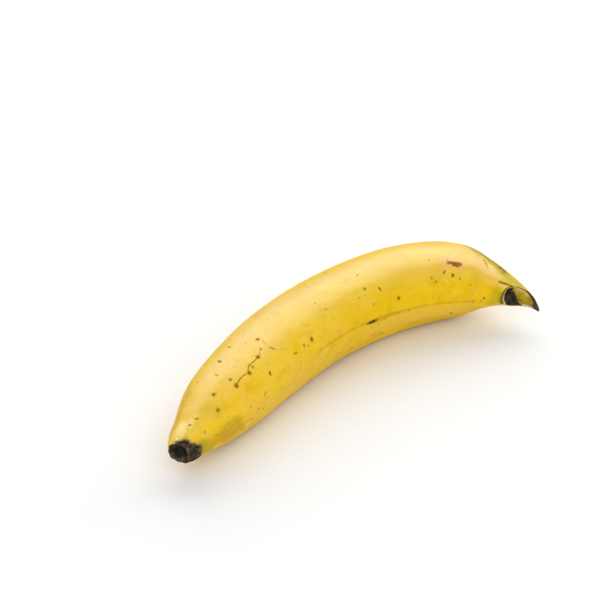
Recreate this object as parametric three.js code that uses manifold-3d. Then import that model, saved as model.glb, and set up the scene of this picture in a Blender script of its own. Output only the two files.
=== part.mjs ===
// A ripe plantain lying on its side: one fruit with a dried, cratered tip at -X and a torn,
// slanting stem at +X. Millimetres and degrees, +Z up, resting on z = 0.
//
// The skin is a loft. A centre line bends in one plane, and round it each cross-section is a
// soft five-sided shape: five ridges with flatter faces between them.
import * as THREE from 'three';
import { mergeVertices } from 'three/addons/utils/BufferGeometryUtils.js';
import Module from 'manifold-3d';

// ---- Driving dimensions ----
// Distances run along the centre line from the tip, 0, to the stem. Angles round the fruit
// start at the inner, hollow side of the bend and rise over the upper side of the fruit.

// [distance, direction of the centre line, where 0 points along +X]
const BEND = [[0, 27], [45, 21], [90, 17], [135, 5], [175, -7], [205, -22.5], [230, -46],
  [255, -77.5], [277, -116]];

// [distance, distance from the centre line out to a ridge]
const GIRTH = [[0, 7.4], [4, 9.1], [12, 11], [20, 13.6], [32, 17.2], [48, 20.3], [72, 22.5],
  [110, 23.8], [150, 23.9], [185, 24.1], [208, 22.9], [225, 20.3], [240, 13.6], [255, 7.7],
  [277, 3]];

const RIDGES = [16, 77, 155, 232, 306];      // where the ridges run at the tip end
const RIDGE_SHARPNESS = 5;                   // 2 is a round section, 20 a flat-sided one
// [distance, how far the ridges have turned]
const RIDGE_TWIST = [[0, 0], [115, 0], [180, -11], [240, -21], [277, -26]];

// Tip: a round lip about a crater, as [share of the radius, distance in from the tip end].
const TIP_CRATER = [[0.93, -0.6], [0.78, -0.9], [0.62, -0.3], [0.45, 1.4], [0.22, 2.6]];
const CRATER_FLOOR = 2.9;

// Stem: cut across on one side and torn on the other, where a curling tongue of peel is left.
const STEM_CUT = 254;                        // distance of the cut, without slant and tongue
const CUT_SLANT = 3;
const CUT_SHORT_SIDE = 330;
const TONGUE_LENGTH = 18;
const TONGUE_SIDE = 195;
const TONGUE_TAPER = 2;                      // 1 is a broad tongue, 3 a narrow one
// Torn face, as [share of the way out from its middle, how far it is sunk]
const TORN_FACE = [[0.86, 0.1], [0.72, 0.9], [0.5, 1.4], [0.25, 1.7]];
const TORN_FACE_MIDDLE = 1.8;
const SHEAR_LENGTH = 34;                     // length over which the rings lean towards the tear

// Pose: how the fruit settles on a table.
const LEAN = 5;                              // the outer side of the bend is raised
const PITCH = 0.6;                           // the stem end is raised
const SETTLE = 0.35;                         // depth of the flats where the fruit touches

const RINGS = 47;
const AROUND = 48;
const SPINE_STEPS = 560;

// ---- Helpers ----
const radians = THREE.MathUtils.degToRad;

// A smooth curve through the rows of a table, with no overshoot between them.
function smoothTable(table) {
  const gaps = table.slice(1).map(([x], i) => x - table[i][0]);
  const slopes = table.slice(1).map(([, y], i) => (y - table[i][1]) / gaps[i]);
  const tangents = table.map((_, i) => {
    if (i === 0) return slopes[0];
    if (i === table.length - 1) return slopes[i - 1];
    if (slopes[i - 1] * slopes[i] <= 0) return 0;
    const before = 2 * gaps[i] + gaps[i - 1];
    const after = gaps[i] + 2 * gaps[i - 1];
    return (before + after) / (before / slopes[i - 1] + after / slopes[i]);
  });
  return (x) => {
    const next = table.findIndex((row) => row[0] > x);
    const i = next === -1 ? table.length - 2 : Math.max(next - 1, 0);
    const t = (x - table[i][0]) / gaps[i];
    const rest = 1 - t;
    return (1 + 2 * t) * rest * rest * table[i][1] + t * rest * rest * gaps[i] * tangents[i]
      + t * t * (3 - 2 * t) * table[i + 1][1] - t * t * rest * gaps[i] * tangents[i + 1];
  };
}

const heading = smoothTable(BEND);
const girth = smoothTable(GIRTH);
const twist = smoothTable(RIDGE_TWIST);

// ---- The centre line, walked in short steps in the plane of the bend ----
const spineLength = BEND[BEND.length - 1][0];
const spineStep = spineLength / SPINE_STEPS;
const spine = [new THREE.Vector2(0, 0)];
for (let i = 0; i < SPINE_STEPS; i++) {
  const direction = radians(heading((i + 0.5) * spineStep));
  const forward = new THREE.Vector2(Math.cos(direction), Math.sin(direction));
  spine.push(spine[i].clone().addScaledVector(forward, spineStep));
}

function spinePoint(distance) {
  const place = THREE.MathUtils.clamp(distance, 0, spineLength) / spineStep;
  const i = Math.min(Math.floor(place), SPINE_STEPS - 1);
  const point = spine[i].clone().lerp(spine[i + 1], place - i);
  if (distance < 0) {
    const direction = radians(heading(0));
    point.x += distance * Math.cos(direction);
    point.y += distance * Math.sin(direction);
  }
  return point;
}

// ---- The cross-section: 1 at a ridge, less between two ridges ----
const faces = RIDGES.map((ridge, i) => {
  const next = i + 1 < RIDGES.length ? RIDGES[i + 1] : RIDGES[0] + 360;
  return { middle: radians((ridge + next) / 2), depth: Math.cos(radians((next - ridge) / 2)) };
});

function section(angle, distance) {
  const turned = angle - radians(twist(distance));
  const sum = faces.reduce((total, { middle, depth }) =>
    total + Math.max(0, Math.cos(turned - middle) / depth) ** RIDGE_SHARPNESS, 0);
  return (sum / 2) ** (-1 / RIDGE_SHARPNESS);
}

// A point of the fruit: reach 1 is on the skin, and 0 on the centre line.
function place(distance, angle, reach, girthAt = distance) {
  const direction = radians(heading(THREE.MathUtils.clamp(distance, 0, spineLength)));
  const radius = reach * girth(THREE.MathUtils.clamp(girthAt, 0, spineLength))
    * section(angle, Math.max(distance, 0));
  const across = radius * Math.cos(angle);
  const centre = spinePoint(distance);
  return new THREE.Vector3(centre.x + across * Math.sin(direction),
    centre.y - across * Math.cos(direction), radius * Math.sin(angle));
}

// How far the peel reaches past STEM_CUT at an angle round the stem.
function tornEdge(angle) {
  const slant = -CUT_SLANT * Math.cos(angle - radians(CUT_SHORT_SIDE));
  const tongue = ((1 + Math.cos(angle - radians(TONGUE_SIDE))) / 2) ** TONGUE_TAPER;
  return slant + TONGUE_LENGTH * tongue;
}

// ---- The rings, from the middle of the crater over the skin to the middle of the torn face ----
const angles = Array.from({ length: AROUND }, (_, k) => (k / AROUND) * 2 * Math.PI);
const rings = [];

for (const [share, inset] of [...TIP_CRATER].reverse()) {
  rings.push(angles.map((angle) => place(inset, angle, share, 0)));
}

for (let i = 0; i < RINGS; i++) {
  const even = i / (RINGS - 1);
  const crowdedEnds = (1 - Math.cos(Math.PI * even)) / 2;
  const distance = STEM_CUT * (0.4 * even + 0.6 * crowdedEnds);
  const shear = THREE.MathUtils.smoothstep(distance, STEM_CUT - SHEAR_LENGTH, STEM_CUT);
  rings.push(angles.map((angle) => place(distance + shear * tornEdge(angle), angle, 1)));
}

const rim = rings[rings.length - 1];
const stemDirection = radians(heading(STEM_CUT));
const intoStem = new THREE.Vector3(-Math.cos(stemDirection), -Math.sin(stemDirection), 0);
const cutCentre = place(STEM_CUT, 0, 0);
for (const [share, sunk] of TORN_FACE) {
  rings.push(rim.map((point) =>
    cutCentre.clone().lerp(point, share).addScaledVector(intoStem, sunk)));
}

const tipMiddle = place(CRATER_FLOOR, 0, 0);
const stemMiddle = cutCentre.clone().addScaledVector(intoStem, TORN_FACE_MIDDLE);

// ---- The closed skin, in its resting pose ----
const corners = [tipMiddle, ...rings.flat(), stemMiddle];
const pose = new THREE.Matrix4().makeRotationY(radians(-PITCH))
  .multiply(new THREE.Matrix4().makeRotationX(radians(LEAN)));
for (const corner of corners) corner.applyMatrix4(pose);

const triangles = [];
const corner = (ring, k) => 1 + ring * AROUND + (k % AROUND);
const lastRing = rings.length - 1;
for (let k = 0; k < AROUND; k++) {
  triangles.push([0, corner(0, k), corner(0, k + 1)]);
  for (let ring = 0; ring < lastRing; ring++) {
    const [a, b] = [corner(ring, k), corner(ring, k + 1)];
    const [c, d] = [corner(ring + 1, k), corner(ring + 1, k + 1)];
    triangles.push([a, c, d], [a, d, b]);
  }
  triangles.push([corner(lastRing, k + 1), corner(lastRing, k), corners.length - 1]);
}

// ---- The flats where it touches the table, cut off by a block below z = 0 ----
const wasm = await Module();
wasm.setup();

function solid(vertProperties, triVerts) {
  return new wasm.Manifold(new wasm.Mesh({
    numProp: 3,
    vertProperties: Float32Array.from(vertProperties),
    triVerts: Uint32Array.from(triVerts),
  }));
}

function solidBlock(width, depth, height, centre) {
  const block = new THREE.BoxGeometry(width, depth, height);
  block.deleteAttribute('normal');
  block.deleteAttribute('uv');
  const merged = mergeVertices(block.translate(...centre));
  return solid(merged.attributes.position.array, merged.index.array);
}

const lowest = Math.min(...corners.map((point) => point.z));
const drop = lowest + SETTLE;
const skin = solid(corners.flatMap((point) => [point.x, point.y, point.z - drop]),
  triangles.flat());
const BLOCK = 600;
const table = solidBlock(BLOCK, BLOCK, BLOCK, [0, 0, -BLOCK / 2]);
const fruit = skin.subtract(table).getMesh();

const geometry = new THREE.BufferGeometry();
geometry.setAttribute('position', new THREE.BufferAttribute(fruit.vertProperties, 3));
geometry.setIndex(new THREE.BufferAttribute(fruit.triVerts, 1));
geometry.computeBoundingBox();
const middle = geometry.boundingBox.getCenter(new THREE.Vector3());
geometry.translate(-middle.x, -middle.y, 0);
geometry.computeVertexNormals();

const peel = new THREE.MeshStandardMaterial({ color: 0xe8bd33, roughness: 0.48, metalness: 0 });
const plantain = new THREE.Mesh(geometry, peel);
plantain.name = 'plantain';

const group = new THREE.Group();
group.add(plantain);
export default group;
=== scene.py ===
# %% [markdown]
# # A ripe plantain
#
# The real thing is one fruit: a curved, softly five-sided body in a waxy yellow peel, with a
# dried black tip at one end and a torn stub of stem at the other. It lies on its side.
#
# The packed model brings a plain, faceted solid of it, which holds the size and the place.
# This lesson grows a finer skin from the same few dimensions, adds the low relief that a hand
# would feel, and then colours it. Everything is in metres, in the frame of the solid.

import math

import bpy
import numpy as np
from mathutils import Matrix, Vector, noise


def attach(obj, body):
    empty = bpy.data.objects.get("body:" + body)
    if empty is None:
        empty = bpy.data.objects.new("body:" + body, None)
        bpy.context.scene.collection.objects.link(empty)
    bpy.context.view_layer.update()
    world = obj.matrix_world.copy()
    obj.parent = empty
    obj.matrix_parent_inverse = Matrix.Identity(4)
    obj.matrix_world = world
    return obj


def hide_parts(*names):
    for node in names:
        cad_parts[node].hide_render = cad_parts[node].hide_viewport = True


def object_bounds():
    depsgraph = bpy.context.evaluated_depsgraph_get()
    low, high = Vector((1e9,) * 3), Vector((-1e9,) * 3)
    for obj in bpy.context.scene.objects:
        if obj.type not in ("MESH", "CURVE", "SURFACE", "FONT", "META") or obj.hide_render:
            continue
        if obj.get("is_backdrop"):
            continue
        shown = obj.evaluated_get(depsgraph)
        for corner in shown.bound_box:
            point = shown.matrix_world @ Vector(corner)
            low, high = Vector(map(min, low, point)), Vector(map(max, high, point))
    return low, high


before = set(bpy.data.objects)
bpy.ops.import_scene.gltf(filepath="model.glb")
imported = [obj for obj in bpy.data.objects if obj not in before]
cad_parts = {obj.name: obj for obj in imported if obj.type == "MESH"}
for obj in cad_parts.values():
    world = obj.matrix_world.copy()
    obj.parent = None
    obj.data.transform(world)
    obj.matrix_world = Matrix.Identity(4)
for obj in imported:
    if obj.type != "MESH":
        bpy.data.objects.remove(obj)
cad_low, cad_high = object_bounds()
MM = 0.001
print("nodes:", sorted(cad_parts),
      "box in mm:", [round(v / MM, 1) for v in cad_high - cad_low])

# %% [markdown]
# ## The driving dimensions
#
# A plantain can be told in two short tables: which way its centre line runs, and how far the
# ridges stand from it. Distances run from the tip, 0, to the stem, in millimetres. Angles round
# the fruit start at the hollow side of the bend and rise over the upper side. A sculpted mesh
# would look as good, but these tables keep the fine skin on the solid to a fraction of a
# millimetre.

# %% The driving dimensions
BEND = [(0, 27), (45, 21), (90, 17), (135, 5), (175, -7), (205, -22.5), (230, -46), (255, -77.5),
        (277, -116)]
GIRTH = [(0, 7.4), (4, 9.1), (12, 11), (20, 13.6), (32, 17.2), (48, 20.3), (72, 22.5),
         (110, 23.8), (150, 23.9), (185, 24.1), (208, 22.9), (225, 20.3), (240, 13.6), (255, 7.7),
         (277, 3)]
RIDGES = [16, 77, 155, 232, 306]
RIDGE_SHARPNESS = 5
RIDGE_TWIST = [(0, 0), (115, 0), (180, -11), (240, -21), (277, -26)]

TIP_CRATER = [(0, 2.9), (0.22, 2.6), (0.45, 1.4), (0.62, -0.3), (0.78, -0.9), (0.93, -0.6), (1, 0)]

STEM_CUT = 254
CUT_SLANT, CUT_SHORT_SIDE = 3, 330
TONGUE_LENGTH, TONGUE_SIDE, TONGUE_TAPER = 18, 195, 2
TORN_FACE = [(0, 1.8), (0.25, 1.7), (0.5, 1.4), (0.72, 0.9), (0.86, 0.1), (1, 0)]
SHEAR_LENGTH = 34

LEAN, PITCH, SETTLE = 5, 0.6, 0.35
print("length along the centre line, without the tongue of the stem:", STEM_CUT, "mm")

# %% [markdown]
# ## Smooth curves through short tables
#
# A table of a few rows needs a curve through it that doesn't swing past its rows, or the fruit
# would bulge where it should taper. This is the monotone cubic that draughting programs use.


# %% Smooth curves through short tables
def smooth_table(table):
    """A curve through the rows of a table, for single numbers or whole arrays."""
    x, y = np.array(table, float).T
    gaps = np.diff(x)
    slopes = np.diff(y) / gaps
    tangents = np.zeros(len(x))
    tangents[0], tangents[-1] = slopes[0], slopes[-1]
    for i in range(1, len(x) - 1):
        if slopes[i - 1] * slopes[i] > 0:
            before, after = 2 * gaps[i] + gaps[i - 1], gaps[i] + 2 * gaps[i - 1]
            tangents[i] = (before + after) / (before / slopes[i - 1] + after / slopes[i])

    def curve(at):
        i = np.clip(np.searchsorted(x, at, side="right") - 1, 0, len(x) - 2)
        t = (at - x[i]) / gaps[i]
        rest = 1 - t
        return ((1 + 2 * t) * rest ** 2 * y[i] + t * rest ** 2 * gaps[i] * tangents[i]
                + t ** 2 * (3 - 2 * t) * y[i + 1] - t ** 2 * rest * gaps[i] * tangents[i + 1])

    return curve


def smooth_step(value, start, end):
    """0 before start and 1 after end, with a soft rise between."""
    t = np.clip((value - start) / (end - start), 0, 1)
    return t * t * (3 - 2 * t)


heading, girth, twist = smooth_table(BEND), smooth_table(GIRTH), smooth_table(RIDGE_TWIST)
print("girth in the middle:", round(float(girth(STEM_CUT / 2)), 2), "mm out to a ridge")

# %% [markdown]
# ## The centre line
#
# The centre line is walked in short steps, each in the direction that the first table gives.
# A Bezier curve drawn by hand would do as well, but then the length would follow from the
# handles. Here the length is a number, and the bend is spread along it as it grew.

# %% The centre line
SPINE_STEPS = 560
spine_length = BEND[-1][0]
spine_step = spine_length / SPINE_STEPS
step_heading = np.radians(heading((np.arange(SPINE_STEPS) + 0.5) * spine_step))
spine_at = np.linspace(0, spine_length, SPINE_STEPS + 1)
spine_x = np.concatenate([[0], np.cumsum(np.cos(step_heading)) * spine_step])
spine_y = np.concatenate([[0], np.cumsum(np.sin(step_heading)) * spine_step])


def spine_point(distance):
    """The centre line's x and y; before the tip it runs straight on."""
    past_tip = np.minimum(distance, 0)
    start = math.radians(heading(0))
    return (np.interp(distance, spine_at, spine_x) + past_tip * math.cos(start),
            np.interp(distance, spine_at, spine_y) + past_tip * math.sin(start))


print("chord from tip to cut:", round(float(np.hypot(*spine_point(STEM_CUT))), 1), "mm")

# %% [markdown]
# ## The cross-section and the torn edge
#
# Cut a plantain across, and the slice is a rounded pentagon: the fruit grew pressed among its
# neighbours in the hand. A soft polygon formula gives that from the five ridge angles. A power
# of two would make it round, and a very high power would make it a cut gem.
#
# The stem was snapped off: across on the near side, and torn along on the far side, where a
# tongue of peel is left. One cosine gives the slant of the snap and another the tongue.


# %% The cross-section and the torn edge
def ridge_gaps():
    """Each ridge with the next one round, in degrees."""
    return [(ridge, RIDGES[i + 1] if i + 1 < len(RIDGES) else RIDGES[0] + 360)
            for i, ridge in enumerate(RIDGES)]


def section(angle, distance):
    """The distance out to the skin, as a share of the distance out to a ridge."""
    turned = angle - np.radians(twist(distance))
    total = 0
    for ridge, following in ridge_gaps():
        middle, half = np.radians((ridge + following) / 2), np.radians((following - ridge) / 2)
        total = total + np.maximum(0, np.cos(turned - middle) / np.cos(half)) ** RIDGE_SHARPNESS
    return (total / 2) ** (-1 / RIDGE_SHARPNESS)


def radius(distance, angle, girth_at=None):
    """The distance from the centre line out to the skin."""
    along = np.clip(distance if girth_at is None else girth_at, 0, spine_length)
    return girth(along) * section(angle, np.maximum(distance, 0))


def bent(distance, out, angle):
    """A point at a distance along the centre line and a distance out from it."""
    x, y = spine_point(distance)
    direction = np.radians(heading(np.clip(distance, 0, spine_length)))
    across = out * np.cos(angle)
    return np.stack([x + across * np.sin(direction), y - across * np.cos(direction),
                     out * np.sin(angle) + 0 * x], axis=-1)


def straight(distance, out, angle):
    """The same point on a fruit that had grown straight: textures and marks are laid here."""
    return np.stack([distance + 0 * angle, out * np.cos(angle), out * np.sin(angle)], axis=-1)


def torn_edge(angle):
    """How far the peel reaches past the cut at an angle round the stem."""
    tongue = ((1 + np.cos(angle - math.radians(TONGUE_SIDE))) / 2) ** TONGUE_TAPER
    return -CUT_SLANT * np.cos(angle - math.radians(CUT_SHORT_SIDE)) + TONGUE_LENGTH * tongue


middle_flat = radius(STEM_CUT / 2, math.radians((RIDGES[2] + RIDGES[3]) / 2))
print("flat between two ridges:", round(float(middle_flat), 1), "mm from the centre line")

# %% [markdown]
# ## A grid that follows the ridges
#
# The skin is a grid of rings and columns. Columns at even angles would cross the ridges, and
# each crest would look like a row of teeth. So the columns turn with the ridges, and one column
# lies on each crest, with its neighbours drawn close to it. The first ridge has a fine crease
# beside its crest, and its column runs in that crease.
#
# Rings crowd at both ends, where the tip and the stem need the finest detail.

# %% A grid that follows the ridges
RINGS, AROUND = 420, 200
CROWDING = 0.5
EVEN_SHARE = 0.4
# [distance, how far above the first ridge its crease runs, in degrees]
CREASE = [(0, 0), (115, 1), (150, 3.5), (175, 4.5), (200, 5.5), (223, 5), (240, -1), (277, -2)]
crease = smooth_table(CREASE)


def column_angles():
    """The columns' angles at the tip, and how much each one follows the crease."""
    angles, follows = [], []
    left = AROUND
    for i, (ridge, following) in enumerate(ridge_gaps()):
        share = (following - ridge) / sum(end - start for start, end in ridge_gaps()[i:])
        count = round(left * share)
        left -= count
        t = np.arange(count) / count
        t -= CROWDING * np.sin(2 * math.pi * t) / (2 * math.pi)
        angles.append(ridge + (following - ridge) * t)
        last = len(RIDGES) - 1
        follows.append(1 - t if i == 0 else t if i == last else 0 * t)
    return np.concatenate(angles), np.concatenate(follows)


at_tip, follows_crease = column_angles()


def turned_columns(distance):
    """The columns' angles, in radians, at each distance of a column of distances."""
    return np.radians(at_tip + twist(distance) + crease(distance) * follows_crease)


even = np.linspace(0, 1, RINGS)
crowded = (1 - np.cos(math.pi * even)) / 2
ring_at = STEM_CUT * (EVEN_SHARE * even + (1 - EVEN_SHARE) * crowded)
around = turned_columns(ring_at[:, None])
sheared = smooth_step(ring_at, STEM_CUT - SHEAR_LENGTH, STEM_CUT)[:, None]
along = ring_at[:, None] + sheared * torn_edge(around)
closest = math.radians(np.diff(at_tip).min()) * girth(STEM_CUT / 2)
print("grid:", along.shape, "columns near a crest are", round(float(closest), 2), "mm apart")

# %% [markdown]
# ## Noise for relief
#
# A hand feels what a formula leaves out: faint swells, a fold where the neck shrank, the crust
# at the tip. All of it comes from Blender's own noise, read on the straightened fruit so that
# nothing stretches in the bend. It is a fixed function of place, so each run gives the same
# fruit.


# %% Noise for relief
NOISE_FOLDS = 6  # folds of the noise round a circle of radius 1


def noise_at(places, size, octaves=1):
    """Noise from -1 to 1 at each place; size is that of its features, along, across and up."""
    scaled = (places / np.array(size, float)).reshape(-1, 3)
    if octaves == 1:
        values = [noise.noise(Vector(place)) for place in scaled]
    else:
        values = [noise.fractal(Vector(place), 1.0, 2.0, octaves) for place in scaled]
    return np.array(values).reshape(places.shape[:-1])


def across_columns(angles, distance, size_along, count):
    """Noise in lengthwise folds: about count of them round the fruit, each size_along long."""
    turn = count / NOISE_FOLDS
    places = np.stack([distance / size_along + 0 * angles, turn * np.cos(angles),
                       turn * np.sin(angles)], axis=-1)
    return noise_at(places, (1, 1, 1))


def bump(distance, width):
    """1 on a line, falling away softly to either side."""
    return np.exp(-(distance / width) ** 2)


sample = noise_at(np.array([[STEM_CUT / 2, 24, 0]]), (30, 12, 12))
print("noise at the middle:", round(float(sample[0]), 3))

# %% [markdown]
# ## The skin
#
# The relief is worked out in millimetres, outward. The ridge on the upper side is worn round,
# and the face behind it is slightly full, so the light rolls over them without a line. The
# other crests stand a little proud, the crease is a shallow groove, the neck is drawn into
# lengthwise folds, and the peel puckers into the dry tip. Each is a few tenths of a millimetre:
# enough to catch the light, too little to change the fruit's size.

# %% The skin
# for each ridge: how proud its crest stands, and how wide it is, in mm
CRESTS = [(0.10, 2.0), (-0.55, 6.0), (0.25, 1.6), (0.20, 1.4), (0.20, 1.4)]
FULL_FACE_HEIGHT, FULL_FACE_WIDTH = 0.55, 11
GROOVE_DEPTH, GROOVE_WIDTH = 0.22, 0.8
# heights in mm, with the size of the noise in mm: along, across and up
SWELL, SWELL_SIZE = 0.30, (34, 14, 14)
RIPPLE, RIPPLE_SIZE = 0.12, (13, 6, 6)
CREST_WEAR, CREST_WEAR_SIZE = 0.2, (16, 9, 9)
CRUST, CRUST_SIZE = 0.35, (2.0, 2.0, 2.0)
# heights in mm, with the length of a fold and how many go round
NECK_FOLD, NECK_FOLD_LENGTH, NECK_FOLDS = 0.42, 26, 13
PUCKER, PUCKER_LENGTH, PUCKERS = 0.45, 9, 12


def across_from(line, angles, distance, out):
    """How far along the skin each point lies from a lengthwise line, plus on its upper side."""
    gap = (np.degrees(angles) - line - twist(distance) + 180) % 360 - 180
    return np.radians(gap) * out


out = radius(along, around)
skin_straight = straight(along, out, around)
from_ridges = [across_from(ridge, around, along, out) for ridge in RIDGES]
from_crease = across_from(RIDGES[0] + crease(along), around, along, out)
from_full_face = across_from((RIDGES[1] + RIDGES[2]) / 2, around, along, out)

near_tip = 1 - smooth_step(along, 5, 24)
near_stem = smooth_step(along, 222, 250)
body = smooth_step(along, 14, 40) * (1 - smooth_step(along, 225, 250))

swells = (SWELL * noise_at(skin_straight, SWELL_SIZE)
          + RIPPLE * noise_at(skin_straight, RIPPLE_SIZE))
crests = sum(height * bump(gap, width) for (height, width), gap in zip(CRESTS, from_ridges))
worn = 1 - CREST_WEAR + CREST_WEAR * noise_at(skin_straight, CREST_WEAR_SIZE)
crests = crests * body * worn
full_face = FULL_FACE_HEIGHT * bump(from_full_face, FULL_FACE_WIDTH) * body
groove = -GROOVE_DEPTH * bump(from_crease, GROOVE_WIDTH)
groove = groove * smooth_step(along, 60, 110) * (1 - near_stem)
neck_folds = NECK_FOLD * near_stem * across_columns(around, along, NECK_FOLD_LENGTH, NECK_FOLDS)
puckers = PUCKER * near_tip * across_columns(around, along, PUCKER_LENGTH, PUCKERS)
crust = CRUST * noise_at(skin_straight, CRUST_SIZE, 3) * (1 - smooth_step(along, 0.5, 4.5))
skin_relief = (swells * (0.35 + 0.65 * body) + crests + full_face + groove + neck_folds + puckers
               + crust)
print("relief in mm, from", round(float(skin_relief.min()), 2),
      "to", round(float(skin_relief.max()), 2))

# %% [markdown]
# ## The crater of the tip and the torn face of the stem
#
# At the tip the withered flower fell off and left a small dry crater with a rolled lip. At the
# stem the peel's cut edge shows as a firm rim, and inside it the soft pith has shrunk and
# turned black. Both close the skin, so they are more rings of the same grid, drawn in towards a
# middle point, each with the profile that its table gives.

# %% The crater of the tip and the torn face of the stem
CRATER_ROWS, TORN_ROWS = 22, 26
INNERMOST = 0.02
# heights in mm, with the size of the noise in mm
CRATER_LUMP, CRATER_LUMP_SIZE = 0.45, (1.8, 1.8, 1.8)
CRATER_PLEAT, CRATER_PLEATS = 0.25, 14
TORN_FIBRE, TORN_FIBRE_SIZE = 0.25, (3.5, 0.9, 0.9)
TORN_CRUMB, TORN_CRUMB_SIZE = 0.12, (0.8, 0.8, 0.8)

crater_share = np.linspace(0, 1, CRATER_ROWS + 1)[:-1] ** 0.8
crater_share[0] = INNERMOST
crater_share = crater_share[:, None]
crater_inset = smooth_table(TIP_CRATER)(crater_share)
crater_around = turned_columns(0 * crater_share)
crater_out = crater_share * radius(crater_inset, crater_around, girth_at=0 * crater_share)
crater_along = crater_inset + 0 * crater_around
crater_straight = straight(crater_along, crater_out, crater_around)
crater_points = bent(crater_along, crater_out, crater_around)
crater_lumps = CRATER_LUMP * noise_at(crater_straight, CRATER_LUMP_SIZE, 3)
crater_pleats = CRATER_PLEAT * across_columns(crater_around, crater_share * 3, 2, CRATER_PLEATS)
crater_relief = (crater_lumps + crater_pleats) * crater_share ** 0.5

skin_points = bent(along, out, around)
rim, rim_straight = skin_points[-1], skin_straight[-1]
stem_heading = math.radians(heading(STEM_CUT))
into_stem = np.array([-math.cos(stem_heading), -math.sin(stem_heading), 0])
cut_centre = bent(np.array(float(STEM_CUT)), 0.0, np.array(0.0))

torn_share = np.linspace(1, 0, TORN_ROWS + 1)[1:] ** 1.15
torn_share[-1] = INNERMOST
torn_share = torn_share[:, None, None]
sunk = smooth_table(TORN_FACE)(torn_share)
torn_points = cut_centre + (rim - cut_centre) * torn_share + into_stem * sunk
straight_centre = np.array([STEM_CUT, 0, 0])
torn_straight = straight_centre + (rim_straight - straight_centre) * torn_share
torn_straight = torn_straight - np.array([1, 0, 0]) * sunk
inside_rim = smooth_step(1 - torn_share[..., 0], 0.12, 0.3)
torn_relief = (TORN_FIBRE * noise_at(torn_straight, TORN_FIBRE_SIZE, 3)
               + TORN_CRUMB * noise_at(torn_straight, TORN_CRUMB_SIZE, 2))
torn_relief = torn_relief * (0.3 + 0.7 * inside_rim)
print("rings in the crater and on the torn face:", len(crater_share), len(torn_share))

# %% [markdown]
# ## Relief, pose and table
#
# The relief is added along the normals of the smooth form. Then the fruit is leant and pitched
# to where it comes to rest by itself, let down onto the table, and pressed flat where it
# touches, as a soft skin is.


# %% Relief, pose and table
def grid_normals(points):
    """Outward normals of a grid of rings whose columns close on themselves."""
    lengthwise = np.gradient(points, axis=0)
    crosswise = np.roll(points, -1, axis=1) - np.roll(points, 1, axis=1)
    normals = np.cross(lengthwise, crosswise)
    return normals / np.linalg.norm(normals, axis=-1, keepdims=True)


def posed(points):
    """Leans the fruit about X, then pitches it about Y."""
    lean, pitch = math.radians(LEAN), math.radians(PITCH)
    x, y, z = points[..., 0], points[..., 1], points[..., 2]
    y, z = y * math.cos(lean) - z * math.sin(lean), y * math.sin(lean) + z * math.cos(lean)
    x, z = x * math.cos(pitch) - z * math.sin(pitch), x * math.sin(pitch) + z * math.cos(pitch)
    return np.stack([x, y, z], axis=-1)


smooth_form = np.concatenate([crater_points, skin_points, torn_points])
relief = np.concatenate([crater_relief, skin_relief, torn_relief])
raised = smooth_form + grid_normals(smooth_form) * relief[..., None]

settled = posed(smooth_form)
low, high = settled.min(axis=(0, 1)), settled.max(axis=(0, 1))
drop = np.array([(low[0] + high[0]) / 2, (low[1] + high[1]) / 2, low[2] + SETTLE])
cad_middle = (np.array(cad_low) + np.array(cad_high)) / 2 / MM
lift = np.array([cad_middle[0], cad_middle[1], 0])
fruit_points = posed(raised) - drop + lift
fruit_points[..., 2] = np.maximum(fruit_points[..., 2], 0)
print("size in mm:", np.round(fruit_points.max(axis=(0, 1)) - fruit_points.min(axis=(0, 1)), 1))

# %% [markdown]
# ## The mesh
#
# One closed mesh, as the fruit is one body: quads between the rings, and a fan of triangles at
# each end. The vertices also carry what the materials need to know: where they lie on the
# straightened fruit, how far they are from a crest of the far side and from the crease, and how
# far in from the rim of the torn face. A line drawn from a distance stays crisp at any size,
# where a painted vertex colour would blur between vertices.

# %% The mesh
SHARP_FROM = 50  # degrees between two faces
FAR_OFF = 6.0  # mm: no crest or crease is read from farther

rows = len(fruit_points)
first, last = rows * AROUND, rows * AROUND + 1
vertices = np.concatenate([fruit_points.reshape(-1, 3), fruit_points[:1].mean(axis=1),
                           fruit_points[-1:].mean(axis=1)]) * MM

quads = []
for row in range(rows - 1):
    for column in range(AROUND):
        beside = (column + 1) % AROUND
        a, b = row * AROUND + column, row * AROUND + beside
        quads.append((a, a + AROUND, b + AROUND, b))
tip_fan = [(first, column, (column + 1) % AROUND) for column in range(AROUND)]
base = (rows - 1) * AROUND
stem_fan = [(base + (column + 1) % AROUND, base + column, last) for column in range(AROUND)]

fruit_mesh = bpy.data.meshes.new("ripe_plantain")
fruit_mesh.from_pydata(vertices.tolist(), [], quads + tip_fan + stem_fan)
fruit_mesh.shade_smooth()
fruit_mesh.set_sharp_from_angle(angle=math.radians(SHARP_FROM))

plantain = bpy.data.objects.new("ripe_plantain", fruit_mesh)
bpy.context.scene.collection.objects.link(plantain)


def store(name, kind, values):
    """Keeps values on the mesh's vertices under a name that the materials read."""
    attribute = fruit_mesh.attributes.new(name, kind, "POINT")
    field = "vector" if kind == "FLOAT_VECTOR" else "value"
    attribute.data.foreach_set(field, np.ascontiguousarray(values, np.float32).ravel())


def with_middles(grid):
    """A grid's values followed by those of the two middle points."""
    flat = grid.reshape(rows * AROUND, -1)
    return np.concatenate([flat, grid[:1].mean(axis=1).reshape(1, -1),
                           grid[-1:].mean(axis=1).reshape(1, -1)])


all_straight = np.concatenate([crater_straight, skin_straight, torn_straight])
skin_rows = slice(len(crater_share), len(crater_share) + RINGS)
crest_rows, crease_rows = np.full((2, rows, AROUND), FAR_OFF)
crest_rows[skin_rows] = np.minimum(np.min(np.abs(from_ridges[2:]), axis=0), FAR_OFF)
crease_rows[skin_rows] = from_crease
torn_rows = np.zeros((rows, AROUND))
torn_rows[skin_rows.stop:] = 1 - torn_share[..., 0]

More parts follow.
